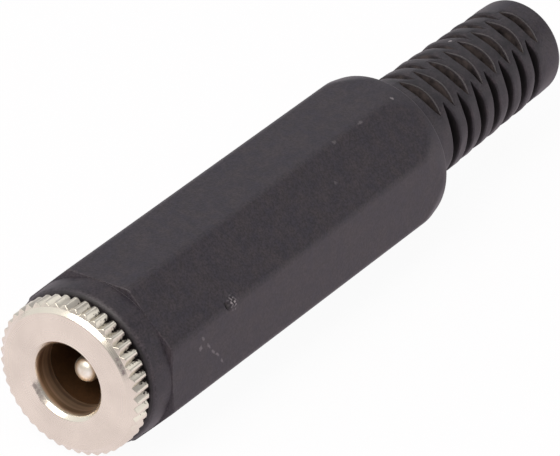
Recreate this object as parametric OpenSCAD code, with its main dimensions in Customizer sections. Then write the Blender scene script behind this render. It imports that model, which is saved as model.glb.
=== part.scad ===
// In-line DC power socket: an eight-sided moulded cover with a slotted bend relief,
// screwed on to a knurled front bushing that holds the insulator and the contacts.
// The axis is X. The mating face is at x = 0, the cable leaves towards +X and +Z is up.
// All lengths are in millimetres and all angles in degrees.

/* [Front bushing] */
// Diameter over the tips of the knurl
ring_d = 12.4; // [11.8:0.1:12.8]
// Thickness of the knurled ring
ring_t = 1.9; // [1.4:0.1:2.4]
// Number of knurl ridges
knurl_count = 43; // [30:1:60]
// Depth of a knurl groove
knurl_depth = 0.3; // [0.15:0.05:0.4]
// Width of the land left on the tip of a knurl ridge
knurl_land = 0.12; // [0.06:0.02:0.3]
// Turn of the knurl about the axis
knurl_turn = 4.7; // [0:0.1:8]
// Step from the roots of the knurl in to the edge of the flat face
face_step = 0.2; // [0.05:0.05:0.4]
// Outside diameter of the threaded sleeve behind the ring
sleeve_d = 11; // [10.8:0.1:11.3]
// Wall of the sleeve round the insulator
sleeve_wall = 0.95; // [0.8:0.05:1.1]
// Thickness of the rim rolled over behind the insulator
rim_t = 0.5; // [0.3:0.05:0.8]
// Inward reach of the rolled rim
rim_reach = 0.4; // [0.25:0.05:0.5]

/* [Socket] */
// Diameter of the metal mouth that takes the plug's barrel
mouth_d = 5.75; // [5.6:0.05:6]
// Depth of the metal mouth
mouth_depth = 2.15; // [1.9:0.05:2.6]
// Width of the countersink round the mouth
mouth_lip = 0.4; // [0.15:0.05:0.5]
// Depth of the socket from the mating face to its floor
socket_depth = 11.2; // [10.5:0.1:12]
// Step from the mouth out to the wall of the insulator
socket_step = 0.1; // [0:0.05:0.2]

/* [Centre pin] */
// Diameter of the centre pin
pin_d = 2; // [1.8:0.05:2.2]
// Depth of the pin's nose behind the mating face
pin_recess = 1.8; // [1:0.1:2.2]
// Diameter of the flange that seats on the socket's floor
pin_flange_d = 3.2; // [2.8:0.1:3.6]
// Thickness of that flange
pin_flange_t = 0.6; // [0.4:0.1:0.8]
// Diameter of the tail behind the flange
pin_tail_d = 1.5; // [1.2:0.1:1.7]
// Diameter of the riveted head on the tail
rivet_d = 2.6; // [2.2:0.1:3]
// Height of the riveted head
rivet_h = 0.6; // [0.4:0.1:0.9]

/* [Insulator] */
// Thickness of the insulator's floor
floor_t = 2.4; // [2:0.1:3]
// Length of the rear boss behind the shoulder
boss_len = 2; // [1.4:0.1:2.2]
// Step from the insulator's wall in to its rear boss
boss_step = 0.45; // [0.3:0.05:0.6]

/* [Contacts] */
// Thickness of the stamped contacts
tag_t = 0.4; // [0.3:0.05:0.5]
// Width of the centre solder tag
tag_w = 2.4; // [1.8:0.1:3]
// Length of the centre solder tag behind the insulator
tag_len = 8.5; // [6:0.5:12]
// Height of the centre tag's blade above the axis
tag_rise = 2; // [1.8:0.1:3]
// Diameter of the wire hole in the centre tag
tag_hole_d = 1.2; // [0.8:0.1:1.4]
// Thickness of the leaf spring that touches the plug's barrel
leaf_t = 0.3; // [0.2:0.05:0.4]
// Width of the leaf spring
leaf_w = 2.4; // [1.8:0.1:2.8]
// Length of the leaf spring
leaf_len = 7; // [5.5:0.25:7.5]
// Reach of the leaf spring inside the socket's wall
leaf_bow = 0.45; // [0.3:0.05:0.6]

/* [Cable clamp] */
// Width of the clamp's strip
strip_w = 2.4; // [2:0.1:2.8]
// Distance from the insulator's shoulder to the claws
strip_len = 16; // [12:0.5:18]
// Length of the claws along the cable
claw_len = 4.5; // [3:0.5:6]
// Gap between the open claws
claw_gap = 4.8; // [4:0.1:5.4]
// Height of the claws above the middle of the cable
claw_rise = 2.2; // [1:0.1:2.6]

/* [Cover] */
// Width of the cover across its flats
body_af = 13.1; // [12.8:0.1:13.6]
// Distance from the mating face to the rear face of the eight-sided body
body_end = 41.1; // [39:0.1:46]
// Length of the round collar in front of the flats
collar_len = 2.25; // [1.5:0.05:3]
// Step from the flats in to the collar
collar_step = 0.05; // [0.03:0.01:0.2]
// Taper of the collar's radius towards the ring
collar_taper = 0.1; // [0:0.02:0.2]
// Chamfer on the collar's front edge
collar_edge = 0.3; // [0.2:0.05:0.5]
// Length along the axis of the slanted shoulder behind the collar
shoulder_run = 0.1; // [0.05:0.05:0.6]
// Length of the long chamfer that takes the corners off at the rear
corner_run = 3.1; // [2:0.1:4]
// Drop of the rear edge inside the flats
corner_drop = 0.1; // [0.05:0.05:0.3]
// Bevel on the rear edge
rear_edge = 0.3; // [0.15:0.05:0.5]
// Wall between a flat and the cavity behind the thread
body_wall = 1.35; // [1.2:0.05:1.6]

/* [Bend relief] */
// Diameter of the bend relief where it leaves the body
boot_root_d = 9.1; // [8.8:0.1:9.8]
// Diameter of the bend relief at its end
boot_end_d = 8.1; // [7.9:0.1:9]
// Length of the bend relief
boot_len = 20.2; // [19.4:0.2:24]
// Radius of the rounded end
boot_round = 0.6; // [0.3:0.1:1]
// Diameter of the cable hole in the end band
cable_d = 4.6; // [4:0.1:5]
// Step from the end band's hole out to the slotted stretch
cable_step = 0.2; // [0.1:0.05:0.3]
// Number of slot rows; short and long slots take turns
slot_rows = 15; // [9:1:15]
// Spacing of neighbouring slot rows
slot_pitch = 1.03; // [0.95:0.01:1.08]
// Distance from the body's rear face to the first row
slot_start = 3.25; // [2.5:0.05:3.4]
// Width of a slot at its middle
slot_w = 1.05; // [0.8:0.05:1.15]
// Angle round the axis from one pointed end of a short slot to the other
slot_span = 60; // [50:1:64]
// Turn of the short slots about the axis, away from the top flat
slot_turn = 25; // [15:0.5:35]
// Angle round the axis by which a long slot is stretched against a short one
slot_sweep = 84; // [76:1:90]
// Narrowing of a long slot's middle stretch against its ends
slot_ease = 0.06; // [0.04:0.02:0.1]
// Wall between a slot's floor and the hollow for the cable
slot_web = 0.5; // [0.4:0.05:0.7]

/* [Clearances] */
// Axial gap between the ring and the cover's collar
ring_gap = 0.25; // [0.1:0.05:0.35]
// Radial gap between the sleeve and the cover's bore
thread_gap = 0.1; // [0.05:0.05:0.15]
// Gap round pieces that are pushed into one another
seat_gap = 0.05; // [0.02:0.01:0.08]
// Gap round pieces that lie free in a recess
free_gap = 0.15; // [0.1:0.05:0.2]

/* [Hidden] */
$fn = 96;
// Reach of a cutter past the face it cuts
over = 1;
// Steps in a rounded edge and in the bow of the leaf spring
arc_steps = 6;
bow_steps = 16;

// Radii and stations of the bushing and the socket
ring_r = ring_d / 2;
sleeve_r = sleeve_d / 2;
seat_r = sleeve_r - sleeve_wall;
mouth_r = mouth_d / 2;
socket_r = mouth_r + socket_step;
floor_end = socket_depth + floor_t;
shoulder_x = floor_end - boss_len;
rim_x = shoulder_x + tag_t;
sleeve_end = rim_x + rim_t;

// Radii of the insulator
insul_r = seat_r - seat_gap;
boss_r = insul_r - boss_step;

// Pin and tag
pin_r = pin_d / 2;
tail_hole_r = pin_tail_d / 2 + seat_gap;
tag_x = floor_end;
rivet_x = tag_x + tag_t;

// Leaf spring: the foot sits in the shoulder, the leaf runs forward from it
leaf_z = socket_r + leaf_t;
foot_top = sqrt(pow(insul_r, 2) - pow(leaf_w / 2, 2));
leaf_tip_x = shoulder_x - leaf_len;
leaf_low_z = socket_r - leaf_bow;

// Cable clamp: the ring lies on the shoulder, the strip runs under the boss
strip_top = -(socket_r + seat_r) / 2 + tag_t / 2;
strip_low = strip_top - tag_t;
claw_x = shoulder_x + strip_len;
claw_r = claw_gap / 2;
claw_mid_z = strip_top + claw_r;

// Cover
flat_r = body_af / 2;
corner_r = flat_r / cos(22.5);
collar_r = flat_r - collar_step;
collar_x = ring_t + ring_gap;
flats_x = collar_x + collar_len;
rear_r = flat_r - corner_drop;
bore_r = sleeve_r + thread_gap;
bore_end = sleeve_end + thread_gap;
cavity_r = flat_r - body_wall;
boot_end = body_end + boot_len;
hole_r = cable_d / 2;
relief_r = hole_r + cable_step;
cone_end = body_end - (flat_r - cavity_r) - rear_edge;
cone_x = cone_end - (cavity_r - relief_r);
slot_x = body_end + slot_start;
band_x = slot_x + (slot_rows - 1) * slot_pitch + slot_w;
slot_floor = relief_r + slot_web;
slot_reach = boot_root_d / 2 + over;

function boot_r(x) =
    boot_root_d / 2 + (boot_end_d - boot_root_d) / 2 * (x - body_end) / boot_len;

// Turns a shape drawn along Z so that it lies along X
module along_x() {
    rotate([0, 90, 0])
        children();
}

// Solid of revolution about X from points given as [radius, x]
module turned(points) {
    along_x()
        rotate_extrude()
            polygon(points);
}

// Round bar along X from one station to another
module bar(r, x0, x1) {
    translate([x0, 0, 0])
        along_x()
            cylinder(r = r, h = x1 - x0);
}

// Strip bent out of flat stock: an outline in the XZ plane, spread evenly about Y
module strip(points, w) {
    translate([0, w / 2, 0])
        rotate([90, 0, 0])
            linear_extrude(w)
                polygon(points);
}

// Point at radius r on the line through the points a and b
function at_radius(a, b, r) = a + (b - a) * (r - a[0]) / (b[0] - a[0]);

// Points of a quarter round edge, from the side face [r, x - e] to the end face [r - e, x]
function round_edge(r, x, e) =
    [for (i = [0 : arc_steps]) let (a = 90 * i / arc_steps)
        [r - e + e * cos(a), x - e + e * sin(a)]];

// Eight-sided body: the flats trimmed by a cone in front and a long cone behind
module body_form() {
    front_foot = [collar_r, flats_x - shoulder_run];
    front_top = [corner_r, flats_x];
    rear_top = [corner_r, body_end - rear_edge - corner_run];
    rear_foot = [rear_r, body_end - rear_edge];
    root = at_radius(front_foot, front_top, collar_r - collar_edge);
    intersection() {
        translate([collar_x, 0, 0])
            along_x()
                rotate(22.5)
                    cylinder(r = corner_r, h = body_end - collar_x + over, $fn = 8);
        turned([
            [0, root[1]],
            root,
            at_radius(front_foot, front_top, corner_r + over),
            at_radius(rear_foot, rear_top, corner_r + over),
            rear_foot,
            [rear_r - rear_edge, body_end],
            [0, body_end]
        ]);
    }
}

// Round collar and tapered bend relief, turned in one with the body
module collar_form() {
    turned([
        [0, collar_x],
        [collar_r - collar_taper - collar_edge, collar_x],
        [collar_r - collar_taper, collar_x + collar_edge],
        [collar_r, flats_x],
        [0, flats_x]
    ]);
}

module boot_form() {
    turned(concat(
        [[0, body_end - rear_edge], [boot_root_d / 2, body_end - rear_edge]],
        [[boot_root_d / 2, body_end]],
        round_edge(boot_end_d / 2, boot_end, boot_round),
        [[0, boot_end]]
    ));
}

// Stepped hollow for the bushing, the contacts and the cable
module cover_hollow() {
    turned([
        [0, collar_x - over],
        [bore_r, collar_x - over],
        [bore_r, bore_end],
        [cavity_r, bore_end],
        [cavity_r, cone_x],
        [relief_r, cone_end],
        [relief_r, band_x],
        [hole_r, band_x],
        [hole_r, boot_end + over],
        [0, boot_end + over]
    ]);
}

// One pointed slot, open towards +Z: the overlap of two round bars
module slot(x) {
    half_len = boot_r(x) * sin(slot_span / 2);
    arc_r = (half_len * half_len + slot_w * slot_w / 4) / slot_w;
    translate([x, 0, slot_floor])
        intersection_for (side = [-1, 1])
            translate([side * (arc_r - slot_w / 2), 0, 0])
                cylinder(r = arc_r, h = slot_reach - slot_floor);
}

// One long slot round the side, open towards +Z: two pointed ends and a straight stretch between them
module long_slot(x) {
    half_chord = boot_r(x) * sin(slot_sweep / 2);
    neck = slot_w - slot_ease;
    for (side = [-1, 1])
        rotate([side * slot_sweep / 2, 0, 0])
            slot(x);
    translate([x - neck / 2, -half_chord, slot_floor])
        cube([neck, 2 * half_chord, slot_reach - slot_floor]);
}

module cover() {
    color([0.11, 0.11, 0.12])
        difference() {
            union() {
                collar_form();
                body_form();
                boot_form();
            }
            cover_hollow();
            for (i = [0 : slot_rows - 1])
                for (side = [0, 180])
                    rotate([slot_turn + side, 0, 0])
                        if (i % 2 == 0)
                            slot(slot_x + i * slot_pitch);
                        else
                            rotate([90, 0, 0])
                                long_slot(slot_x + i * slot_pitch);
        }
}

// Straight V knurl: a star outline whose points stand past the lands that they are cut to
module knurl_form() {
    step = 360 / knurl_count;
    pitch = 2 * PI * ring_r / knurl_count;
    tip = knurl_depth * knurl_land / (pitch - knurl_land);
    along_x()
        rotate(knurl_turn + 90)
            linear_extrude(ring_t)
                polygon([for (i = [0 : knurl_count - 1]) for (half = [0, 1])
                    let (r = ring_r + tip - half * (tip + knurl_depth), a = (i + half / 2) * step)
                        [r * cos(a), r * sin(a)]]);
}

module front_bushing() {
    face_edge = knurl_depth + face_step;
    back_edge = knurl_depth / 2;
    color([0.86, 0.82, 0.78])
        difference() {
            union() {
                intersection() {
                    knurl_form();
                    turned([
                        [0, 0],
                        [ring_r - face_edge, 0],
                        [ring_r, face_edge],
                        [ring_r, ring_t - back_edge],
                        [ring_r - back_edge, ring_t],
                        [0, ring_t]
                    ]);
                }
                bar(sleeve_r, ring_t / 2, sleeve_end);
            }
            turned([
                [0, -over],
                [mouth_r + mouth_lip, -over],
                [mouth_r + mouth_lip, 0],
                [mouth_r, mouth_lip],
                [mouth_r, mouth_depth],
                [seat_r, mouth_depth],
                [seat_r, rim_x],
                [seat_r - rim_reach, rim_x],
                [seat_r - rim_reach, sleeve_end + over],
                [0, sleeve_end + over]
            ]);
        }
}

// Cup with a drilled floor, a window for the leaf spring and a flat for the clamp's strip
module insulator_body() {
    window_w = leaf_w + 2 * free_gap;
    color([0.2, 0.13, 0.08])
        difference() {
            turned([
                [0, mouth_depth],
                [insul_r, mouth_depth],
                [insul_r, shoulder_x],
                [boss_r, shoulder_x],
                [boss_r, floor_end],
                [0, floor_end]
            ]);
            bar(socket_r, mouth_depth - over, socket_depth);
            bar(tail_hole_r, socket_depth - over, floor_end + over);
            translate([leaf_tip_x - free_gap, -window_w / 2, 0])
                cube([leaf_len + free_gap - leaf_t, window_w, insul_r + over]);
            translate([shoulder_x - leaf_t, -window_w / 2, leaf_z - leaf_t])
                cube([leaf_t, window_w, insul_r]);
            translate([shoulder_x, -insul_r, strip_top + seat_gap - insul_r])
                cube([boss_len + over, 2 * insul_r, insul_r]);
        }
}

module centre_pin() {
    nose = [for (i = [0 : 2 * arc_steps]) let (a = 45 * i / arc_steps)
        [pin_r * sin(a), pin_recess + pin_r - pin_r * cos(a)]];
    flange_x = socket_depth - pin_flange_t;
    head = [for (i = [0 : arc_steps]) let (a = 90 * i / arc_steps)
        [rivet_d / 2 * cos(a), rivet_x + rivet_h * sin(a)]];
    color([0.88, 0.84, 0.76])
        turned(concat(
            nose,
            [[pin_r, flange_x], [pin_flange_d / 2, flange_x]],
            [[pin_flange_d / 2, socket_depth], [pin_tail_d / 2, socket_depth]],
            [[pin_tail_d / 2, rivet_x]],
            head
        ));
}

// Solder tag: an eye round the pin's tail and a blade bent back over the cable
module centre_tag() {
    blade_end = tag_x + tag_len;
    eye_r = tag_rise;
    color([0.83, 0.74, 0.48])
        difference() {
            union() {
                bar(eye_r, tag_x, tag_x + tag_t);
                strip([
                    [tag_x, 0],
                    [tag_x, tag_rise + tag_t],
                    [blade_end - tag_w / 2, tag_rise + tag_t],
                    [blade_end - tag_w / 2, tag_rise],
                    [tag_x + tag_t, tag_rise],
                    [tag_x + tag_t, 0]
                ], tag_w);
                translate([blade_end - tag_w / 2, 0, tag_rise])
                    cylinder(d = tag_w, h = tag_t);
            }
            bar(tail_hole_r, tag_x - over, tag_x + tag_t + over);
            translate([blade_end - tag_w / 2, 0, tag_rise - over])
                cylinder(d = tag_hole_d, h = tag_t + 2 * over);
        }
}

// Leaf spring: a foot held at the shoulder and a bowed leaf reaching into the socket
module sleeve_spring() {
    foot_x = shoulder_x - leaf_t;
    depth = leaf_z - leaf_low_z;
    bow = [for (i = [0 : bow_steps]) let (s = i / bow_steps)
        [foot_x - s * (leaf_len - leaf_t), leaf_z - depth * pow(sin(180 * s), 2)]];
    color([0.80, 0.66, 0.40])
        strip(concat(
            [[shoulder_x, leaf_z - leaf_t], [shoulder_x, foot_top], [foot_x, foot_top]],
            bow,
            [for (i = [bow_steps : -1 : 0]) bow[i] - [0, leaf_t]]
        ), leaf_w);
}

// Stamped clamp: a ring under the rolled rim, a strip to the rear and two open claws
module cable_clamp() {
    claw_end = claw_x + claw_len;
    color([0.80, 0.79, 0.76])
        union() {
            difference() {
                bar(seat_r - seat_gap, shoulder_x, rim_x);
                bar(boss_r + seat_gap, shoulder_x - over, rim_x + over);
            }
            intersection() {
                bar(seat_r - seat_gap, shoulder_x, rim_x);
                translate([shoulder_x, -strip_w / 2, strip_top - seat_r])
                    cube([tag_t, strip_w, seat_r]);
            }
            translate([shoulder_x, -strip_w / 2, strip_low])
                cube([claw_end - shoulder_x, strip_w, tag_t]);
            difference() {
                union() {
                    translate([0, 0, claw_mid_z])
                        bar(claw_r + tag_t, claw_x, claw_end);
                    translate([claw_x, -claw_r - tag_t, claw_mid_z])
                        cube([claw_len, claw_gap + 2 * tag_t, claw_rise]);
                }
                translate([0, 0, claw_mid_z])
                    bar(claw_r, claw_x - over, claw_end + over);
                translate([claw_x - over, -claw_r, claw_mid_z])
                    cube([claw_len + 2 * over, claw_gap, claw_rise + claw_r + over]);
                translate([claw_x - over, -claw_r - over, claw_mid_z + claw_rise])
                    cube([claw_len + 2 * over, claw_gap + 2 * over, claw_r + over]);
            }
        }
}

cover();
front_bushing();
insulator_body();
centre_pin();
centre_tag();
sleeve_spring();
cable_clamp();
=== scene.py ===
import math

import bmesh
import bpy
import numpy as np
from mathutils import Matrix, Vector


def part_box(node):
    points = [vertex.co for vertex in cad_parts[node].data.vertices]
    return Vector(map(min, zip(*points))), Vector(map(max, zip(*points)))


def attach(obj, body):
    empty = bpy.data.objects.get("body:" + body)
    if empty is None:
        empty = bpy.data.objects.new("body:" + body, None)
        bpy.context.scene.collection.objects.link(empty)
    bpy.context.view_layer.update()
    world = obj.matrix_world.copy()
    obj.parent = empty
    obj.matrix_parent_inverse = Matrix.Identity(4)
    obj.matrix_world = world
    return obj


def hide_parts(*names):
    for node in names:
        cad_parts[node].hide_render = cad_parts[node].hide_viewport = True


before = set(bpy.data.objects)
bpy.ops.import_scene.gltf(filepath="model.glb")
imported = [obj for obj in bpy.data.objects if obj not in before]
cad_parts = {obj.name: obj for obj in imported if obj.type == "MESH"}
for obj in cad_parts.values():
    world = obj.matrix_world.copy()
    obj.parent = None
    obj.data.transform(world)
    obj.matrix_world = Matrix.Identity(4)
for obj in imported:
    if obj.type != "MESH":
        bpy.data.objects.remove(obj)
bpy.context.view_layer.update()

# In-line DC power socket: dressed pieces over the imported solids. Sizes are in mm, meshes in metres.
# The axis is X from the mating face to the cable end. Column angles run from +Z towards -Y, in degrees.

mm = 0.001
scene = bpy.context.scene
scene.view_settings.view_transform = "Standard"


def boxOf(node):
    low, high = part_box(node)
    return np.array(low) / mm, np.array(high) / mm


coverLow, coverHigh = boxOf("cover")
bushingLow, bushingHigh = boxOf("front_bushing")
pinLow, pinHigh = boxOf("centre_pin")
print("frame loaded:", sorted(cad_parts))


# Camera: the view of the photograph, found by fitting the solids' edges to it

camera = dict(azimuth=35.018, elevation=30.212, roll=-0.755, distance=451.624,
              target=(26.1, 0.0, 0.0), aside=0.82, raised=0.258, focalPx=5947.0, widthPx=560)


def setCamera(s):
    a, e, t = (math.radians(s[k]) for k in ("azimuth", "elevation", "roll"))
    back = np.array([-math.cos(a) * math.cos(e), -math.sin(a) * math.cos(e), math.sin(e)])
    level = np.cross(-back, (0, 0, 1))
    level /= np.linalg.norm(level)
    upright = np.cross(level, -back)
    right = level * math.cos(t) + upright * math.sin(t)
    up = upright * math.cos(t) - level * math.sin(t)
    place = np.array(s["target"]) + back * s["distance"] + right * s["aside"] + up * s["raised"]
    lens = bpy.data.cameras.new("photoCamera")
    lens.sensor_width = 36
    lens.lens = s["focalPx"] * lens.sensor_width / s["widthPx"]
    lens.clip_start, lens.clip_end = 0.01, 50
    eye = bpy.data.objects.new("photoCamera", lens)
    scene.collection.objects.link(eye)
    turn = Matrix(np.stack([right, up, back], axis=1).tolist()).to_4x4()
    eye.matrix_world = Matrix.Translation(place * mm) @ turn
    scene.camera = eye


setCamera(camera)
print("camera set")


# Shared mesh and material helpers

def toLinear(colour):
    c = np.array([int(colour[i:i + 2], 16) for i in (1, 3, 5)]) / 255
    linear = np.where(c <= 0.04045, c / 12.92, ((c + 0.055) / 1.055) ** 2.4)
    return (*map(float, linear), 1.0)


# Adds a node with its properties, and sets or links its inputs by name or number
def addNode(tree, kind, inputs=None, **properties):
    node = tree.nodes.new(kind)
    for name, value in properties.items():
        setattr(node, name, value)
    for key, value in (inputs or {}).items():
        if isinstance(value, bpy.types.NodeSocket):
            tree.links.new(value, node.inputs[key])
        else:
            node.inputs[key].default_value = value
    return node


# Rounds a profile whose corners are given as [corner, column, (x, r)]: each corner turns into a quadratic
# arc that leaves its sides at the given reach, or at just under half the side where the side is shorter.
# Also gives each line's corner, and how far the line is into the bend: 1 in the middle, 0 at the ends.
def roundCorners(corners, reach, steps=3):
    ahead = np.diff(corners, axis=0)
    length = np.linalg.norm(ahead, axis=2, keepdims=True)
    ahead = ahead / np.maximum(length, 1e-9)
    t = np.linspace(0, 1, steps + 1)
    s = t[:, None, None]
    lines, owner, bend = [], [], []
    for k, corner in enumerate(corners):
        if reach[k] and 0 < k < len(corners) - 1:
            cut = np.minimum(reach[k], 0.48 * np.minimum(length[k - 1], length[k]))
            start, end = corner - ahead[k - 1] * cut, corner + ahead[k] * cut
            lines.append((1 - s) ** 2 * start + 2 * s * (1 - s) * corner + s ** 2 * end)
            bend.append(np.sin(np.pi * t))
        else:
            lines.append(corner[None])
            bend.append(np.zeros(1))
        owner.append(np.full(len(bend[-1]), k))
    return np.concatenate(lines), np.concatenate(owner), np.concatenate(bend)


# Turns lines given as [line, column, (x, r)] about the axis: each column stands at its own angle
def aroundAxis(lines, angles):
    a = np.radians(angles)
    x, r = lines[..., 0], lines[..., 1]
    return np.stack([x, -r * np.sin(a), r * np.cos(a)], axis=2)


# Joins a grid of points [line, column, xyz] into faces, round the columns and, if closed, round the lines.
# keep marks the strips that stay, one flag for each line and column. Doubled points are merged.
# The last argument holds values for each point, wear, dust, painted shade and painted highlights, which the
# finish reads as attributes of the same names.
def gridPiece(name, grid, node, finish, closed=True, keep=None, sharpAngle=38, markValues=None):
    count, columns = grid.shape[:2]
    index = np.arange(count * columns).reshape(count, columns)
    here, below = index, np.roll(index, -1, axis=0)
    quads = np.stack([here, below, np.roll(below, -1, axis=1), np.roll(here, -1, axis=1)], axis=2)
    keep = np.ones((count, columns), bool) if keep is None else keep
    last = count if closed else count - 1
    faces = quads[:last][keep[:last]]
    mesh = bpy.data.meshes.new(name)
    mesh.from_pydata((grid.reshape(-1, 3) * mm).tolist(), [], faces.tolist())
    for label, values in (markValues or {}).items():
        mesh.attributes.new(label, "FLOAT", "POINT").data.foreach_set("value", values.ravel())
    work = bmesh.new()
    work.from_mesh(mesh)
    bmesh.ops.remove_doubles(work, verts=work.verts, dist=2e-4 * mm)
    bmesh.ops.dissolve_degenerate(work, edges=work.edges, dist=2e-4 * mm)
    bmesh.ops.recalc_face_normals(work, faces=work.faces)
    loose = [v for v in work.verts if not v.link_faces]
    bmesh.ops.delete(work, geom=loose, context="VERTS")
    openEdges = sum(len(e.link_faces) != 2 for e in work.edges)
    work.to_mesh(mesh)
    work.free()
    mesh.polygons.foreach_set("use_smooth", np.ones(len(mesh.polygons), bool))
    mesh.set_sharp_from_angle(angle=math.radians(sharpAngle))
    mesh.materials.append(finish)
    piece = bpy.data.objects.new(name, mesh)
    scene.collection.objects.link(piece)
    even = piece.modifiers.new("evenShading", "WEIGHTED_NORMAL")
    even.keep_sharp = True
    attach(piece, "root")
    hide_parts(node)
    print(name, "faces", len(mesh.polygons), "open edges", openEdges)


# Height of a V thread at a station and a column angle: 1 on a crest of the outer piece, 0 in its groove
def threadWave(x, angles, pitch):
    phase = (x / pitch - angles / 360) % 1
    return np.clip(2.4 * np.abs(2 * phase - 1) - 0.7, 0, 1)


# Ragged spots on a finish: each is an ellipsoid with its middle and half sizes in mm, its turn about Y in
# degrees and its strength. Noise frays its edge. Gives the strength inside a spot and 0 outside all of them.
def spotFactor(tree, place, spots, frayMm=0.16):
    fray = addNode(tree, "ShaderNodeTexNoise", {"Vector": place, "Scale": 1 / (frayMm * mm), "Detail": 2.0})
    factor = 0.0
    for middle, half, turn, strength in spots:
        local = addNode(tree, "ShaderNodeMapping",
                        {"Vector": place, "Location": np.array(middle) * mm, "Scale": np.array(half) * mm,
                         "Rotation": (0, math.radians(turn), 0)}, vector_type="TEXTURE")
        reach = addNode(tree, "ShaderNodeVectorMath", {0: local.outputs[0]}, operation="LENGTH")
        ragged = addNode(tree, "ShaderNodeMath",
                         {0: fray.outputs["Fac"], 1: 1.6, 2: reach.outputs["Value"]},
                         operation="MULTIPLY_ADD")
        inside = addNode(tree, "ShaderNodeMapRange",
                         {"Value": ragged.outputs[0], "From Min": 1.75, "From Max": 1.25, "To Max": strength})
        both = addNode(tree, "ShaderNodeMath", {0: inside.outputs["Result"], 1: factor}, operation="MAXIMUM")
        factor = both.outputs[0]
    return factor


# Black ABS moulding from a spark-eroded tool: a dull black that turns purple or brown with the light, with a
# fine pebble grain, pale scuffs, dust in patches in the upper slots, and edges rubbed pale, which also stand
# in for their glints as painted highlights. Painted shade darkens the other slots, the nick's dent and the
# collar's front edge next to the ring, and the ribs are darkened a little, all in patches. The grain is drawn
# about twice as coarse as the real one so that it shows. Brown phenolic is the same finish in brown, without
# the wear, dust or painted shade.

plasticLooks = dict(
    blackAbs=dict(
        dark="#221e21", pale="#3e393e", warm="#fdf5f3", cool="#d6d5e8", cloudMm=1.0, grainMm=0.17,
        # shade is the painted shade for the slots, the nick's dent and the collar's front edge
        grainHeight=0.016, rough=(0.46, 0.58), gloss=0.5, rubbedAndGlint="#8e888a", dust="#4a4240", shade="#151213",
        darkDrift=0.45, darkRange=(0.32, 0.525),
        spots=[((8.25, -6.55, 1.7), (0.36, 0.2, 0.15), 53, 0.35),  # row of scuffs behind the collar
               ((8.9, -6.55, 0.75), (0.4, 0.2, 0.13), 53, 0.4),
               ((9.44, -6.55, 0.0), (0.42, 0.2, 0.14), 53, 0.42),
               ((9.96, -6.55, -0.5), (0.4, 0.2, 0.14), 40, 0.42),
               ((10.5, -6.55, -1.3), (0.32, 0.2, 0.14), 60, 0.38),
               ((7.9, -6.55, 1.05), (0.26, 0.2, 0.28), 0, 0.4),
               ((39.1, -2.52, 6.31), (0.22, 0.2, 0.2), 0, 0.7),  # specks on the long edge
               ((34.4, -2.8, 6.47), (0.35, 0.2, 0.15), 0, 0.25),
               ((30.8, -2.84, 6.42), (0.25, 0.2, 0.2), 0, 0.25),
               ((28.35, -4.6, 4.66), (0.2, 0.2, 0.2), 0, 0.22),
               ((52.5, 0.91, 4.22), (0.2, 0.2, 0.2), 0, 1.0),  # specks on the bend relief
               ((47.6, -1.37, 3.92), (0.25, 0.2, 0.2), 0, 0.6)]),
    brownPhenolic=dict(
        dark="#3a2817", pale="#4c3620", warm="#fff7f2", cool="#f4eeea", cloudMm=1.5, grainMm=0.2,
        grainHeight=0.006, rough=(0.4, 0.5), gloss=0.5),
)


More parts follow.
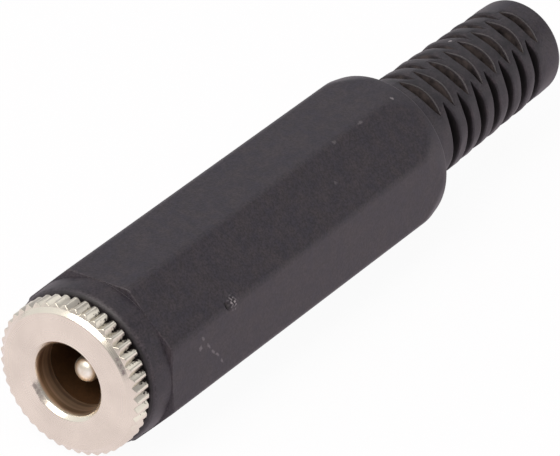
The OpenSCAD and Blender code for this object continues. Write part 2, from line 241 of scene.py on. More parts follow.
def mouldedPlastic(name, s):
    material = bpy.data.materials.new(name)
    material.use_nodes = True
    tree = material.node_tree
    shader = tree.nodes["Principled BSDF"]
    place = addNode(tree, "ShaderNodeTexCoord").outputs["Object"]
    cloud = addNode(tree, "ShaderNodeTexNoise",
                    {"Vector": place, "Scale": 1 / (s["cloudMm"] * mm), "Detail": 4.0, "Roughness": 0.6})
    grain = addNode(tree, "ShaderNodeTexNoise",
                    {"Vector": place, "Scale": 1 / (s["grainMm"] * mm), "Detail": 2.0, "Roughness": 0.6})
    speck = addNode(tree, "ShaderNodeMapRange",
                    {"Value": grain.outputs["Fac"], "From Min": 0.3, "From Max": 0.7})
    spread = addNode(tree, "ShaderNodeMapRange",
                     {"Value": cloud.outputs["Fac"], "From Min": 0.35, "From Max": 0.65})
    colour = addNode(tree, "ShaderNodeMix",
                     {0: speck.outputs["Result"], 6: toLinear(s["dark"]), 7: toLinear(s["pale"])},
                     data_type="RGBA")
    cast = addNode(tree, "ShaderNodeMix",
                   {0: spread.outputs["Result"], 6: toLinear(s["warm"]), 7: toLinear(s["cool"])},
                   data_type="RGBA")
    colour = addNode(tree, "ShaderNodeMix", {0: 1.0, 6: colour.outputs[2], 7: cast.outputs[2]},
                     data_type="RGBA", blend_type="MULTIPLY")
    if "rubbedAndGlint" in s:
        # dust lies in patches in the slots that face up, and elsewhere the slots take painted shade
        recess = addNode(tree, "ShaderNodeAttribute", attribute_name="recess")
        dusty = addNode(tree, "ShaderNodeAttribute", attribute_name="dust")
        patchy = addNode(tree, "ShaderNodeMath", {0: dusty.outputs["Fac"], 1: spread.outputs["Result"]},
                         operation="MULTIPLY")
        deep = addNode(tree, "ShaderNodeMix",
                       {0: patchy.outputs[0], 6: toLinear(s["shade"]), 7: toLinear(s["dust"])},
                       data_type="RGBA")
        # the darkening, painted shade and the ribs' darkening, lies in patches too: the clouds shift the
        # depth at which it shows
        darkened = addNode(tree, "ShaderNodeMath",
                         {0: cloud.outputs["Fac"], 1: s["darkDrift"], 2: recess.outputs["Fac"]},
                         operation="MULTIPLY_ADD")
        low, high = s["darkRange"]
        inside = addNode(tree, "ShaderNodeMapRange",
                         {"Value": darkened.outputs[0], "From Min": low, "From Max": high})
        colour = addNode(tree, "ShaderNodeMix",
                         {0: inside.outputs["Result"], 6: colour.outputs[2], 7: deep.outputs[2]},
                         data_type="RGBA")
        # rubbed pale edges come from the mesh, broken up by the grain, and the scuffs from the list of spots;
        # the pale edges also stand in for the edges' glints, as painted highlights
        wearAndGlint = addNode(tree, "ShaderNodeAttribute", attribute_name="wearAndGlint")
        broken = addNode(tree, "ShaderNodeMath", {0: wearAndGlint.outputs["Fac"], 1: speck.outputs["Result"]},
                         operation="MULTIPLY")
        pale = addNode(tree, "ShaderNodeMath", {0: broken.outputs[0], 1: spotFactor(tree, place, s["spots"])},
                       operation="MAXIMUM")
        colour = addNode(tree, "ShaderNodeMix",
                         {0: pale.outputs[0], 6: colour.outputs[2], 7: toLinear(s["rubbedAndGlint"])},
                         data_type="RGBA")
    rough = addNode(tree, "ShaderNodeMapRange",
                    {"Value": grain.outputs["Fac"], "To Min": s["rough"][0], "To Max": s["rough"][1]})
    bump = addNode(tree, "ShaderNodeBump",
                   {"Height": grain.outputs["Fac"], "Strength": 0.6, "Distance": s["grainHeight"] * mm})
    tree.links.new(colour.outputs[2], shader.inputs["Base Color"])
    tree.links.new(rough.outputs["Result"], shader.inputs["Roughness"])
    tree.links.new(bump.outputs["Normal"], shader.inputs["Normal"])
    shader.inputs["IOR"].default_value = 1.5
    shader.inputs["Specular IOR Level"].default_value = s["gloss"]
    return material


# Plated and bare metals: satin, with faint turning rings about the axis and a slightly patchy plate. The wall
# of the mouth is drab and streaky. The rolled knurl is duller and torn, with painted shade in its gaps, and
# the spots are dull scuffs in the plate. Turning rings are drawn at a few tenths of a millimetre, coarser
# than a real tool's feed, so that they show.

metalLooks = dict(
    nickelPlate=dict(
        base="#e7e1d1", deep="#dbd5c6", patchMm=2.5, rough=(0.22, 0.32), ringMm=0.3, ringHeight=0.0008,
        mouthR=2.88, wallBlend=0.06, drab=("#bd9e82", "#e6c9ac"), scuffed="#9d948f", dullRough=0.2,
        knurlR=5.93, knurlBlend=0.02, knurlDull=0.3, tornMm=0.2, tornShare=60.0,
        # a dark colour painted as shade into the knurl's gaps next to the collar, broken up by noise
        gapShade="#332c2a", shadeDrift=1.5, shadeRange=(1.15, 1.4),
        spots=[((0.1, 2.85, -1.37), (0.25, 0.3, 0.35), 0, 0.8),  # on the countersink
               ((0.1, 2.5, -1.76), (0.25, 0.3, 0.35), 0, 0.8),
               ((0.1, 2.24, -2.19), (0.25, 0.3, 0.35), 0, 0.8),
               ((0.1, 1.98, -2.5), (0.25, 0.3, 0.2), 0, 0.6),
               ((0.15, -4.71, 3.42), (0.2, 0.3, 0.3), 0, 1.0),  # on the bevel round the face
               ((0.15, -4.99, 3.0), (0.2, 0.3, 0.3), 0, 1.0),
               ((0.15, -5.23, 2.55), (0.2, 0.25, 0.35), 0, 1.0)]),
    pinPlate=dict(
        base="#fffff4", deep="#e9e3d0", patchMm=0.6, rough=(0.38, 0.5), ringMm=0.25, ringHeight=0.0006),
    stampedBrass=dict(
        base="#d8b878", deep="#bd9a58", patchMm=2.5, rough=(0.3, 0.42), ringMm=0.5, ringHeight=0.0006),
    springBronze=dict(
        base="#cf9f68", deep="#b07f4a", patchMm=2.5, rough=(0.28, 0.4), ringMm=0.5, ringHeight=0.0006),
    tinPlate=dict(
        base="#cfcdc6", deep="#b6b4ae", patchMm=2.5, rough=(0.36, 0.5), ringMm=0.6, ringHeight=0.0008),
)


def turnedMetal(name, s):
    material = bpy.data.materials.new(name)
    material.use_nodes = True
    tree = material.node_tree
    shader = tree.nodes["Principled BSDF"]
    place = addNode(tree, "ShaderNodeTexCoord").outputs["Object"]
    parts = addNode(tree, "ShaderNodeSeparateXYZ", {"Vector": place})
    flat = addNode(tree, "ShaderNodeCombineXYZ", {"Y": parts.outputs["Y"], "Z": parts.outputs["Z"]})
    radius = addNode(tree, "ShaderNodeVectorMath", {0: flat.outputs["Vector"]}, operation="LENGTH")
    along = addNode(tree, "ShaderNodeCombineXYZ", {"X": radius.outputs["Value"], "Y": parts.outputs["X"]})
    rings = addNode(tree, "ShaderNodeTexNoise",
                    {"Vector": along.outputs["Vector"], "Scale": 1 / (s["ringMm"] * mm), "Detail": 2.0})
    patch = addNode(tree, "ShaderNodeTexNoise",
                    {"Vector": place, "Scale": 1 / (s["patchMm"] * mm), "Detail": 3.0})
    blotch = addNode(tree, "ShaderNodeMapRange",
                     {"Value": patch.outputs["Fac"], "From Min": 0.3, "From Max": 0.7})
    colour = addNode(tree, "ShaderNodeMix",
                     {0: blotch.outputs["Result"], 6: toLinear(s["base"]), 7: toLinear(s["deep"])},
                     data_type="RGBA")
    rough = addNode(tree, "ShaderNodeMapRange",
                    {"Value": rings.outputs["Fac"], "To Min": s["rough"][0], "To Max": s["rough"][1]})
    relief = rings.outputs["Fac"]
    if "mouthR" in s:
        wall = addNode(tree, "ShaderNodeMapRange",
                       {"Value": radius.outputs["Value"], "From Min": (s["mouthR"] + s["wallBlend"]) * mm,
                        "From Max": s["mouthR"] * mm})
        scuff = spotFactor(tree, place, s["spots"])
        dull = addNode(tree, "ShaderNodeMath", {0: wall.outputs["Result"], 1: scuff}, operation="MAXIMUM")
        streak = addNode(tree, "ShaderNodeMapRange",
                         {"Value": rings.outputs["Fac"], "From Min": 0.35, "From Max": 0.65})
        streaky = addNode(tree, "ShaderNodeMix",
                          {0: streak.outputs["Result"], 6: toLinear(s["drab"][0]), 7: toLinear(s["drab"][1])},
                          data_type="RGBA")
        colour = addNode(tree, "ShaderNodeMix",
                         {0: wall.outputs["Result"], 6: colour.outputs[2], 7: streaky.outputs[2]},
                         data_type="RGBA")
        colour = addNode(tree, "ShaderNodeMix",
                         {0: scuff, 6: colour.outputs[2], 7: toLinear(s["scuffed"])}, data_type="RGBA")
        # the rolled knurl is dull, and its torn skin is far coarser than the turning rings
        rolled = addNode(tree, "ShaderNodeMapRange",
                         {"Value": radius.outputs["Value"], "From Min": (s["knurlR"] - s["knurlBlend"]) * mm,
                          "From Max": s["knurlR"] * mm, "To Max": s["knurlDull"]})
        dull = addNode(tree, "ShaderNodeMath", {0: dull.outputs[0], 1: rolled.outputs["Result"]},
                       operation="MAXIMUM")
        torn = addNode(tree, "ShaderNodeTexNoise",
                       {"Vector": place, "Scale": 1 / (s["tornMm"] * mm), "Detail": 2.0})
        coarse = addNode(tree, "ShaderNodeMath", {0: rolled.outputs["Result"], 1: s["tornShare"]},
                         operation="MULTIPLY")
        relief = addNode(tree, "ShaderNodeMath", {0: coarse.outputs[0], 1: torn.outputs["Fac"], 2: relief},
                         operation="MULTIPLY_ADD").outputs[0]
        # painted shade sits in the gaps of the knurl next to the collar, broken up by the same noise
        shadedGap = addNode(tree, "ShaderNodeAttribute", attribute_name="gapShade")
        clump = addNode(tree, "ShaderNodeMath",
                        {0: torn.outputs["Fac"], 1: s["shadeDrift"], 2: shadedGap.outputs["Fac"]},
                        operation="MULTIPLY_ADD")
        low, high = s["shadeRange"]
        shadeAmount = addNode(tree, "ShaderNodeMapRange",
                       {"Value": clump.outputs[0], "From Min": low, "From Max": high})
        colour = addNode(tree, "ShaderNodeMix",
                         {0: shadeAmount.outputs["Result"], 6: colour.outputs[2], 7: toLinear(s["gapShade"])},
                         data_type="RGBA")
        rough = addNode(tree, "ShaderNodeMath",
                        {0: dull.outputs[0], 1: s["dullRough"], 2: rough.outputs["Result"]},
                        operation="MULTIPLY_ADD")
    bump = addNode(tree, "ShaderNodeBump",
                   {"Height": relief, "Strength": 0.5, "Distance": s["ringHeight"] * mm})
    tree.links.new(colour.outputs[2], shader.inputs["Base Color"])
    tree.links.new(rough.outputs[0], shader.inputs["Roughness"])
    tree.links.new(bump.outputs["Normal"], shader.inputs["Normal"])
    shader.inputs["Metallic"].default_value = 1.0
    return material


plastic = {name: mouldedPlastic(name, look) for name, look in plasticLooks.items()}
metal = {name: turnedMetal(name, look) for name, look in metalLooks.items()}
print("materials made")


# Cover: collar, eight-sided body, slotted bend relief and the stepped hollow, as one closed skin. A profile
# of stations and radii is turned round the axis, and where the section isn't round each column has a radius
# of its own.

cover = dict(boreR=5.6, boreEnd=12.6, bodyWall=1.35, reliefR=2.5, holeR=2.3,
             collarLen=2.25, collarStep=0.05, collarTaper=0.1, collarEdge=0.3, shoulderRun=0.1,
             bodyEnd=41.1, cornerRun=3.1, cornerDrop=0.1, rearEdge=0.25, cornerRound=0.8, edgeRound=0.1,
             bootRootR=4.56, bootEndR=4.08, bootRound=0.5, rootFillet=0.25,
             slotRows=15, slotPitch=1.03, slotStart=3.25, slotW=0.9, slotSpan=60, slotTurn=25, slotSweep=84,
             slotFloor=3.0, lip=0.17, lipSteps=4, ribDarkening=0.18, dustDepth=0.19, stray=0.04, uneven=0.1,
             ripple=0.05, rippleFade=2.0, lean=(0.115, 0.115), threadPitch=0.75, threadDepth=0.4,
             columnStep=3.0)
# dark sets how much painted shade lies in the nick's dent and between its crumbs
nick = dict(x=12.05, angle=66.8, longMm=0.58, wide=3.5, dent=0.3, burr=0.1, pale=2.6, dark=0.5,
            lines=56, columns=25)


# Scuffed spot on one long edge, as a change of radius: a dent in front and a crumbled burr behind it. Each
# fades with the square of the distance from its middle, along the edge in mm and across it in degrees, and
# the crumbs are crossing waves, coarse and fine. Also gives how pale the crumbs are, and how much painted
# shade lies in the dent and between the crumbs.
def nickHeight(x, angles, s):
    along, across = (x - s["x"]) / s["longMm"], (angles - s["angle"]) / s["wide"]
    dent = np.exp(-9 * (along + 0.85) ** 2 - 2 * (across + 0.1) ** 2)
    burr = np.exp(-2.6 * (along - 0.35) ** 2 - 0.8 * across ** 2)
    coarse = np.sin(5 * along - 4 * across + 1) * np.sin(5 * across + 4 * along + 2)
    fine = np.sin(9 * along + 2 * across) * np.sin(7 * across - 3 * along)
    crumbs = np.clip(0.1 + 0.9 * coarse + 1.1 * fine, 0, 1)
    lift = np.where(angles > s["angle"] + 1, -0.6, 1.0)
    height = s["burr"] * burr * crumbs * lift - s["dent"] * dent
    return height, s["pale"] * burr * crumbs, s["dark"] * (dent + 0.6 * burr * (1 - crumbs))


# Radius of an octagon with rounded corners: a flat gives apothem / cos of the angle off its normal,
# and near a corner the radius is where the ray leaves the corner's small circle.
def octagonRadius(angles, apothem, rounding):
    off = (angles + 22.5) % 45 - 22.5
    a = np.radians(off)
    flat = apothem / np.cos(a)
    centre = (apothem - rounding) / math.cos(math.pi / 8)
    d = np.radians(22.5) - np.abs(a)
    arc = centre * np.cos(d) + np.sqrt(np.maximum(rounding ** 2 - (centre * np.sin(d)) ** 2, 0))
    tangent = math.atan((apothem - rounding) * math.tan(math.pi / 8) / apothem)
    return np.where(np.abs(a) < tangent, flat, arc)


# One row of two pointed slots. Its lines run along the boot, bend out round each slot, roll over a lip of a
# quarter circle and drop straight to the floor. A short slot is a lens where two circles overlap, so its half
# width at a distance y from the middle is sqrt(R^2 - y^2) - (R - w / 2). A long one is a lens cut in two at
# its middle, with the halves drawn apart by the sweep. Past the points of a slot all lines fall on one.
def slotRow(x, turn, sweep, width, angles, bootR, s):
    off = (angles - turn + 90) % 180 - 90
    past = np.sign(off) * np.maximum(np.abs(off) - sweep / 2, 0)
    d = np.radians(past)
    r = bootR(x)
    halfLen = r * math.sin(math.radians(s["slotSpan"] / 2))
    arcR = (halfLen ** 2 + width ** 2 / 4) / width
    y = np.minimum(np.abs(r * np.sin(d)), halfLen)
    inSlot = np.abs(past) <= s["slotSpan"] / 2 + 0.01
    half = np.where(inSlot, np.maximum(np.sqrt(arcR ** 2 - y ** 2) - (arcR - width / 2), 0), 0)
    lip = np.minimum(s["lip"], half)
    t = np.linspace(0, math.pi / 2, s["lipSteps"])[:, None]
    rise, apart = 1 - np.cos(t), 1 - np.sin(t)
    top = np.concatenate([x - half - apart * lip, (x + half + apart * lip)[::-1]])
    sink = np.concatenate([rise * lip, (rise * lip)[::-1]])
    upper = aroundAxis(np.stack([top, bootR(top) - sink], axis=2), angles)
    # floor points keep their distance from the slot's middle plane and drop along the slot's own direction
    wallR = r - lip
    side = wallR * np.sin(d)
    depth = np.where(inSlot, s["slotFloor"], wallR * np.cos(d))
    middle = np.radians(angles) - d
    across, down = -np.sin(middle), np.cos(middle)
    footY, footZ = depth * across - side * down, depth * down + side * across
    floor = np.stack([np.stack([x + k * half, footY, footZ], axis=1) for k in (-1, 1)])
    n = s["lipSteps"]
    lines = np.concatenate([upper[:n], floor, upper[n:]])
    keep = np.ones(lines.shape[:2], bool)
    keep[n - 1:n + 2] = inSlot & np.roll(inSlot, -1)
    # the slots' walls and floors take painted shade, or dust where they face up
    sunk = np.concatenate([0.2 * rise, np.ones((2, 1)), 0.2 * rise[::-1]]) * (half > 0)
    # the ribs are darkened a little, most of all on top
    sunk = np.maximum(sunk, s["ribDarkening"] * (0.75 + 0.25 * np.cos(np.radians(angles))))
    return lines, keep, sunk


def makeCover(s):
    front, rear, apothem = coverLow[0], coverHigh[0], coverHigh[2]
    cornerR = apothem / math.cos(math.pi / 8)
    collarR, rearR = apothem - s["collarStep"], apothem - s["cornerDrop"]
    # columns stand every few degrees, and closer on the rounded edges, at the nick and at the slots' points
    nearCorner = np.array([-2.52, -1.9, -1.2, -0.6, 0, 0.6, 1.2, 1.9, 2.52])
    corners = (22.5 + 45 * np.arange(8))[:, None] + nearCorner
    nearNick = nick["angle"] + nick["wide"] * np.linspace(-1.6, 1.6, nick["columns"])
    middles = s["slotTurn"] + np.array([0, 90 - s["slotSweep"] / 2, 90 + s["slotSweep"] / 2])
    middles = np.concatenate([middles, middles + 180])[:, None]
    nearTip = middles + s["slotSpan"] / 2 * np.array([-1, -0.94, 0.94, 1])
    angles = np.concatenate([np.arange(0, 360, s["columnStep"]), corners.ravel(), nearNick, nearTip.ravel()])
    angles = np.unique(np.round(angles % 360, 3))
    one = np.ones_like(angles)
    flatR = octagonRadius(angles, apothem, s["cornerRound"])
    flatsX = front + s["collarLen"]
    footX = flatsX - s["shoulderRun"]
    edgeX = footX + (flatR - collarR) * s["shoulderRun"] / (cornerR - collarR)
    tailX = s["bodyEnd"] - s["rearEdge"]
    coneX = tailX - (flatR - rearR) * s["cornerRun"] / (cornerR - rearR)
    lipR = collarR - s["collarTaper"]
    footR = lipR + s["collarTaper"] * (footX - front - s["collarEdge"]) / (s["collarLen"] - s["collarEdge"])
    bootRun = rear - s["bootRound"] - s["bodyEnd"]

    def bootR(x):
        return s["bootRootR"] + (s["bootEndR"] - s["bootRootR"]) * (x - s["bodyEnd"]) / bootRun

    firstX = s["bodyEnd"] + s["slotStart"]
    soft = s["edgeRound"]
    nickX = nick["x"] + nick["longMm"] * np.linspace(-2.2, 2.6, nick["lines"])
    # each corner's station, radius, rounding, and pale wear that also stands in for the edge's glint as a
    # painted highlight
    body = [(front, s["boreR"], 0, 0), (front, lipR - s["collarEdge"], 2 * soft, 0),
            (front + s["collarEdge"], lipR, 2 * soft, 0.1), (footX, footR, 0.03, 0),
            (edgeX, flatR, 1.5 * soft, 0.05)]
    body += [(x, flatR + nickHeight(x, angles, nick)[0], 0, 0) for x in nickX]
    body += [(coneX, flatR, 0.5, 0), (tailX, rearR, 0.12, 0.15),
             (s["bodyEnd"], rearR - s["rearEdge"], 0.12, 0.2),
             (s["bodyEnd"], s["bootRootR"], s["rootFillet"], 0), (firstX - 1, bootR(firstX - 1), 0, 0)]
    outer = np.stack([np.stack([x * one, r * one], axis=1) for x, r, _, _ in body])
    lines, owner, bend = roundCorners(outer, [reach for _, _, reach, _ in body], 4)
    rubbedAndGlint = np.array([markValues for *_, markValues in body])[owner] * bend
    parts = [aroundAxis(lines, angles)]
    keeps = [np.ones(lines.shape[:2], bool)]
    wearAndGlint = [rubbedAndGlint[:, None] * one + nickHeight(lines[..., 0], angles, nick)[1]]
    # the collar's front edge next to the ring gets painted shade
    gapShade = np.where(owner < 2, 0.25, np.where(owner == 2, 0.12, 0))
    recess = [gapShade[:, None] * one + nickHeight(lines[..., 0], angles, nick)[2]]
    dust = [np.zeros(lines.shape[:2])]

    def add(points, keep=None, sunk=None, dusty=0):
        flat = points.shape[:2]
        parts.append(points)
        keeps.append(np.ones(flat, bool) if keep is None else keep)
        recess.append(np.zeros(flat) if sunk is None else sunk)
        dust.append((recess[-1] > s["dustDepth"]) * dusty)
        wearAndGlint.append(np.zeros(flat))

    for i in range(s["slotRows"]):
        long = i % 2
        # the rows are not quite evenly spaced, nor the slots equally wide
        x = firstX + i * s["slotPitch"] + s["stray"] * math.sin(2.4 * i)
        width = s["slotW"] * (1 + s["uneven"] * math.sin(1.7 * i + 0.5))
        row = slotRow(x, s["slotTurn"] + 90 * long, s["slotSweep"] * long, width, angles, bootR, s)
        # the short slots on top and the left ends of the long ones face up
        add(*row, np.abs((angles + 30 * long + 180) % 360 - 180) < 75 - 20 * long)
    bandX = firstX + (s["slotRows"] - 1) * s["slotPitch"] + s["slotW"]
    end = [(bandX, bootR(bandX), 0), (rear, s["bootEndR"], s["bootRound"]), (rear, s["holeR"], 0.15),
           (bandX, s["holeR"], 0.05), (bandX, s["reliefR"], 0)]
    cap = np.stack([np.stack([x * one, r * one], axis=1) for x, r, _ in end])
    add(aroundAxis(roundCorners(cap, [reach for _, _, reach in end], 6)[0], angles))
    steps = np.arange(s["boreEnd"], front, -s["threadPitch"] / 6)[1:-1, None]
    fade = np.clip(np.minimum(s["boreEnd"] - steps, steps - front) / s["threadPitch"] - 0.3, 0, 1)
    ridge = s["boreR"] - s["threadDepth"] * fade * threadWave(steps, angles[None], s["threadPitch"])
    cavityR = apothem - s["bodyWall"]
    coneEnd = tailX - s["bodyWall"]
    plain = [(coneEnd, s["reliefR"]), (coneEnd - cavityR + s["reliefR"], cavityR),
             (s["boreEnd"], cavityR), (s["boreEnd"], s["boreR"])]
    hollowLines = np.stack([np.stack([x * one, r * one], axis=1) for x, r in plain])
    thread = np.stack([steps * one, ridge], axis=2)
    add(aroundAxis(np.concatenate([hollowLines, thread]), angles))
    grid = np.concatenate(parts)
    # the ribs are a little wavy: crossing waves along and round the bend relief fade out at both its ends
    x, a = grid[..., 0], np.radians(angles)
    fade = np.clip((x - s["bodyEnd"]) / s["rippleFade"], 0, 1) * np.clip((rear - x) / s["rippleFade"], 0, 1)
    wave = np.sin(4.1 * x + 5 * a) * np.sin(2.3 * x - 3 * a + 1)
    grid[..., 1:] *= (1 + s["ripple"] * fade * wave / s["bootRootR"])[..., None]
    # the bend relief leans a little up and to the left, more and more towards its end
    bent = np.clip((grid[..., :1] - s["bodyEnd"]) / (rear - s["bodyEnd"]), 0, 1) ** 1.5
    grid[..., 1:] += bent * np.array(s["lean"])
    # the crumbs of the nick stay inside the solid's box
    grid[..., 1:] = np.clip(grid[..., 1:], coverLow[1:], coverHigh[1:])
    markValues = {name: np.concatenate(rows) for name, rows in (("wearAndGlint", wearAndGlint), ("recess", recess), ("dust", dust))}
    gridPiece("coverShell", grid, "cover", plastic["blackAbs"],
              keep=np.concatenate(keeps), markValues=markValues)


makeCover(cover)


# Front bushing: knurled ring, countersunk mouth, seat for the insulator and threaded sleeve. Two profiles of
# stations and radii and the thread's lines between them are turned round the axis as one closed skin.

# some of these values place the painted shade in the knurl's gaps: its middle angle, spread, start, run and
# reach up the ridges
bushing = dict(ringT=1.9, knurlCount=43, knurlDepth=0.33, knurlBurr=0.03, knurlLand=0.16, knurlTurn=4.7,
               faceStep=0.34, shadeTurn=52, shadeSpread=55, shadeX=0.8, shadeRun=0.8, ridgeShade=0.2,
               mouthR=2.875, mouthDepth=2.15, mouthLip=0.4, sleeveR=5.5, seatR=4.55, rimX=12.0,
               rimReach=0.4, edgeRound=0.05, threadPitch=0.75, threadDepth=0.4, threadLead=0.3, undercut=0.2)


# Radius over the knurl: each ridge has a narrow land and straight flanks down to a sharp root
def knurlRadius(share, s, ringR):
    land = s["knurlLand"] / (2 * math.pi * ringR / s["knurlCount"])
    fall = np.clip((np.abs(share) - land / 2) / (0.5 - land / 2), 0, 1)
    return ringR - s["knurlDepth"] * fall


def makeBushing(s):
    ringR = max(bushingHigh[1:]) + s["knurlBurr"]
    sleeveEnd = bushingHigh[0]
    # columns of one tooth, as shares of the knurl's pitch
    share = np.array([-0.5, -0.44, -0.3, -0.18, -0.11, -0.05, 0, 0.05, 0.11, 0.18, 0.3, 0.44])
    teeth = np.arange(s["knurlCount"])[:, None] + share
    angles = (s["knurlTurn"] - 90 + teeth * 360 / s["knurlCount"]).ravel()
    one = np.ones_like(angles)
    toothR = np.tile(knurlRadius(share, s, ringR), s["knurlCount"])
    rootR = ringR - s["knurlDepth"]
    faceR = rootR - s["faceStep"]
    backR = ringR - 0.2 * s["knurlDepth"]
    soft, rimR = s["edgeRound"], s["seatR"] - s["rimReach"]
    threadStart, threadStop = sleeveEnd - s["threadLead"], s["ringT"] + s["undercut"]
    # each corner's station, radius and rounding
    sleeve = [(0, 0.5 * (s["mouthR"] + faceR), 0), (0, s["mouthR"] + s["mouthLip"], soft),
              (0.75 * s["mouthLip"], s["mouthR"] + 0.25 * s["mouthLip"], soft),
              (1.3 * s["mouthLip"], s["mouthR"], 2 * soft),
              (s["mouthDepth"], s["mouthR"], soft), (s["mouthDepth"], s["seatR"], 0),
              (s["rimX"], s["seatR"], 0), (s["rimX"], rimR, soft), (sleeveEnd, rimR, soft),
              (sleeveEnd, s["sleeveR"], 0.15), (threadStart, s["sleeveR"], 0)]
    ring = [(threadStop, s["sleeveR"], 0), (s["ringT"], s["sleeveR"], 0),
            (s["ringT"], np.minimum(toothR, backR), 0),
            (s["ringT"] - np.maximum(toothR - backR, 0), toothR, soft),
            (s["faceStep"] + 0.4 * (toothR - rootR), toothR, soft), (s["faceStep"], rootR, 0.02),
            (0, faceR, soft), (0, 0.5 * (s["mouthR"] + faceR), 0)]
    parts = []
    for profile in (sleeve, ring):
        lines = np.stack([np.stack([x * one, r * one], axis=1) for x, r, _ in profile])
        parts.append(roundCorners(lines, [reach for _, _, reach in profile])[0])
    steps = np.arange(threadStart, threadStop, -s["threadPitch"] / 8)[1:-1, None]
    fade = np.clip(np.minimum(threadStart - steps, steps - threadStop) / s["threadPitch"], 0, 1)
    groove = s["sleeveR"] - s["threadDepth"] * fade * threadWave(steps, angles[None], s["threadPitch"])
    thread = np.stack([steps * one, groove], axis=2)
    lines = np.concatenate([parts[0], thread, parts[1]])
    # painted shade: more towards the collar and the roots of the knurl, on the top and the right
    side = (angles - s["shadeTurn"] + 180) % 360 - 180
    x, r = lines[..., 0], lines[..., 1]
    gap = np.clip(s["ridgeShade"] + (ringR - r) / s["knurlDepth"], 0, 1.2) * (r > rootR - 0.01)
    behind = np.clip((x - s["shadeX"]) / s["shadeRun"], 0, 1)
    gapShade = gap * behind * np.exp(-(side / s["shadeSpread"]) ** 2)
    gridPiece("knurledBushing", aroundAxis(lines, angles), "front_bushing",
              metal["nickelPlate"], sharpAngle=30, markValues=dict(gapShade=gapShade))


makeBushing(bushing)


# Centre pin: round nose, flange on the socket's floor, tail and riveted head. Its profile is turned round the
# axis: the nose is a quarter of an ellipse, and so is the head.

pin = dict(radius=1.0, noseRun=0.75, flangeR=1.6, flangeT=0.6, floorX=11.2, tailR=0.75, rivetX=14.0,
           rivetR=1.3, edgeRound=0.06, columns=72, lean=(-0.14, -0.16))


def makePin(s):
    angles = np.arange(s["columns"]) * 360 / s["columns"]
    one = np.ones_like(angles)
    arc = np.radians(np.linspace(0, 90, 13))
    nose = [(pinLow[0] + s["noseRun"] * (1 - math.cos(t)), s["radius"] * math.sin(t), 0) for t in arc]
    dome = np.radians(np.linspace(0, 90, 9))
    rivetH = pinHigh[0] - s["rivetX"]
    head = [(s["rivetX"] + rivetH * math.sin(t), s["rivetR"] * math.cos(t), 0) for t in dome]
    flangeX = s["floorX"] - s["flangeT"]
    soft = s["edgeRound"]
    shank = [(flangeX, s["radius"], soft), (flangeX, s["flangeR"], soft), (s["floorX"], s["flangeR"], soft),
             (s["floorX"], s["tailR"], 0), (s["rivetX"], s["tailR"], 0)]
    profile = nose + shank + head
    lines = np.stack([np.stack([x * one, r * one], axis=1) for x, r, _ in profile])
    grid = aroundAxis(roundCorners(lines, [reach for _, _, reach in profile])[0], angles)
    # the pin is bent a little towards the low right, more and more towards its nose
    bent = np.clip((flangeX - grid[..., :1]) / (flangeX - pinLow[0]), 0, 1) ** 2
    grid[..., 1:] += bent * np.array(s["lean"])
    gridPiece("roundNosedPin", grid, "centre_pin", metal["pinPlate"], closed=False)


makePin(pin)

# The pieces inside keep their solids' shape and take a finish of their own

innerFinish = dict(insulator_body=plastic["brownPhenolic"], centre_tag=metal["stampedBrass"],
                   sleeve_spring=metal["springBronze"], cable_clamp=metal["tinPlate"])
for node, finish in innerFinish.items():
    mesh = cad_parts[node].data
    mesh.materials.clear()
    mesh.materials.append(finish)
print("inner pieces finished")


# Studio: a white floor that keeps a faint shadow and a grey surround. Sizes here are in metres. The key lamp
# stands high in front, and a broad fill to its left. Behind the cable end are a dim cool lamp, a small one
# high up and one low on each side, for the sheen on the flats and the ribs.

studio = dict(
    floorSize=4.0, floorColour="#f6eef3", sheen="#fff3fa", shadowShare=0.05, surround="#a8a6aa",
    surroundLevel=1.0, aim=(0.02, 0.0, 0.0),
    lamps=[
        dict(name="keyBox", toward=(-0.645, 0.014, 0.76), away=0.6, size=0.42, watts=2.8, colour="#fff8f2"),
        dict(name="backBox", toward=(0.708, 0.55, 0.45), away=0.8, size=0.7, watts=0.1, colour="#e0e6ff"),
        dict(name="fillBox", toward=(-0.35, 0.8, 0.5), away=0.8, size=1.0, watts=1.4, colour="#ffffff"),
        dict(name="topBox", toward=(0.7, -0.02, 0.76), away=0.8, size=0.4, watts=0.4, colour="#ffffff"),
        dict(name="leftBox", toward=(0.66, 0.74, 0.12), away=0.8, size=0.6, watts=0.38, colour="#ffffff"),
        dict(name="sideBox", toward=(0.64, -0.76, 0.12), away=0.8, size=0.6, watts=0.75, colour="#ffffff"),
    ])


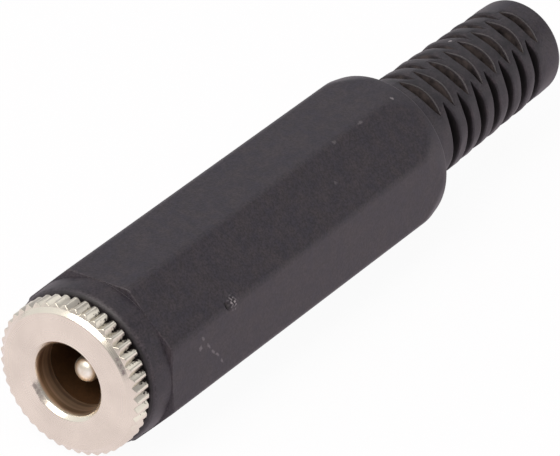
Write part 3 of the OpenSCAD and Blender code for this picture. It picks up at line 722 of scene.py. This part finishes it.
def makeStudio(s):
    material = bpy.data.materials.new("whitePaper")
    material.use_nodes = True
    tree = material.node_tree
    tree.nodes.remove(tree.nodes["Principled BSDF"])
    output = tree.nodes["Material Output"]
    paper = addNode(tree, "ShaderNodeBsdfDiffuse", {"Color": toLinear(s["floorColour"])})
    path = addNode(tree, "ShaderNodeLightPath")
    sheen = addNode(tree, "ShaderNodeMix",
                    {0: path.outputs["Is Glossy Ray"], 6: toLinear("#ffffff"), 7: toLinear(s["sheen"])},
                    data_type="RGBA")
    glow = addNode(tree, "ShaderNodeEmission", {"Color": sheen.outputs[2], "Strength": 1.0})
    seen = addNode(tree, "ShaderNodeMath",
                   {0: path.outputs["Is Camera Ray"], 1: path.outputs["Is Glossy Ray"]}, operation="MAXIMUM")
    seen = addNode(tree, "ShaderNodeMath",
                   {0: seen.outputs[0], 1: path.outputs["Is Transmission Ray"]}, operation="MAXIMUM")
    share = addNode(tree, "ShaderNodeMath", {0: seen.outputs[0], 1: 1 - s["shadowShare"]},
                    operation="MULTIPLY")
    both = addNode(tree, "ShaderNodeMixShader",
                   {0: share.outputs[0], 1: paper.outputs[0], 2: glow.outputs[0]})
    tree.links.new(both.outputs[0], output.inputs["Surface"])
    half = s["floorSize"] / 2
    level = coverLow[2] * mm
    mesh = bpy.data.meshes.new("paperFloor")
    mesh.from_pydata([(-half, -half, level), (half, -half, level), (half, half, level), (-half, half, level)],
                     [], [(0, 1, 2, 3)])
    mesh.materials.append(material)
    floor = bpy.data.objects.new("paperFloor", mesh)
    scene.collection.objects.link(floor)

    world = bpy.data.worlds.new("greySurround")
    world.use_nodes = True
    sky = world.node_tree.nodes["Background"]
    sky.inputs["Color"].default_value = toLinear(s["surround"])
    sky.inputs["Strength"].default_value = s["surroundLevel"]
    scene.world = world
    for lamp in s["lamps"]:
        light = bpy.data.lights.new(lamp["name"], "AREA")
        light.shape = "DISK"
        light.size = lamp["size"]
        light.energy = lamp["watts"]
        light.color = toLinear(lamp["colour"])[:3]
        holder = bpy.data.objects.new(lamp["name"], light)
        scene.collection.objects.link(holder)
        back = np.array(lamp["toward"]) / np.linalg.norm(lamp["toward"])
        right = np.cross((0, 0, 1), back)
        right /= np.linalg.norm(right)
        turn = Matrix(np.stack([right, np.cross(back, right), back], axis=1).tolist()).to_4x4()
        holder.matrix_world = Matrix.Translation(np.array(s["aim"]) + back * lamp["away"]) @ turn


makeStudio(studio)
print("studio lit")
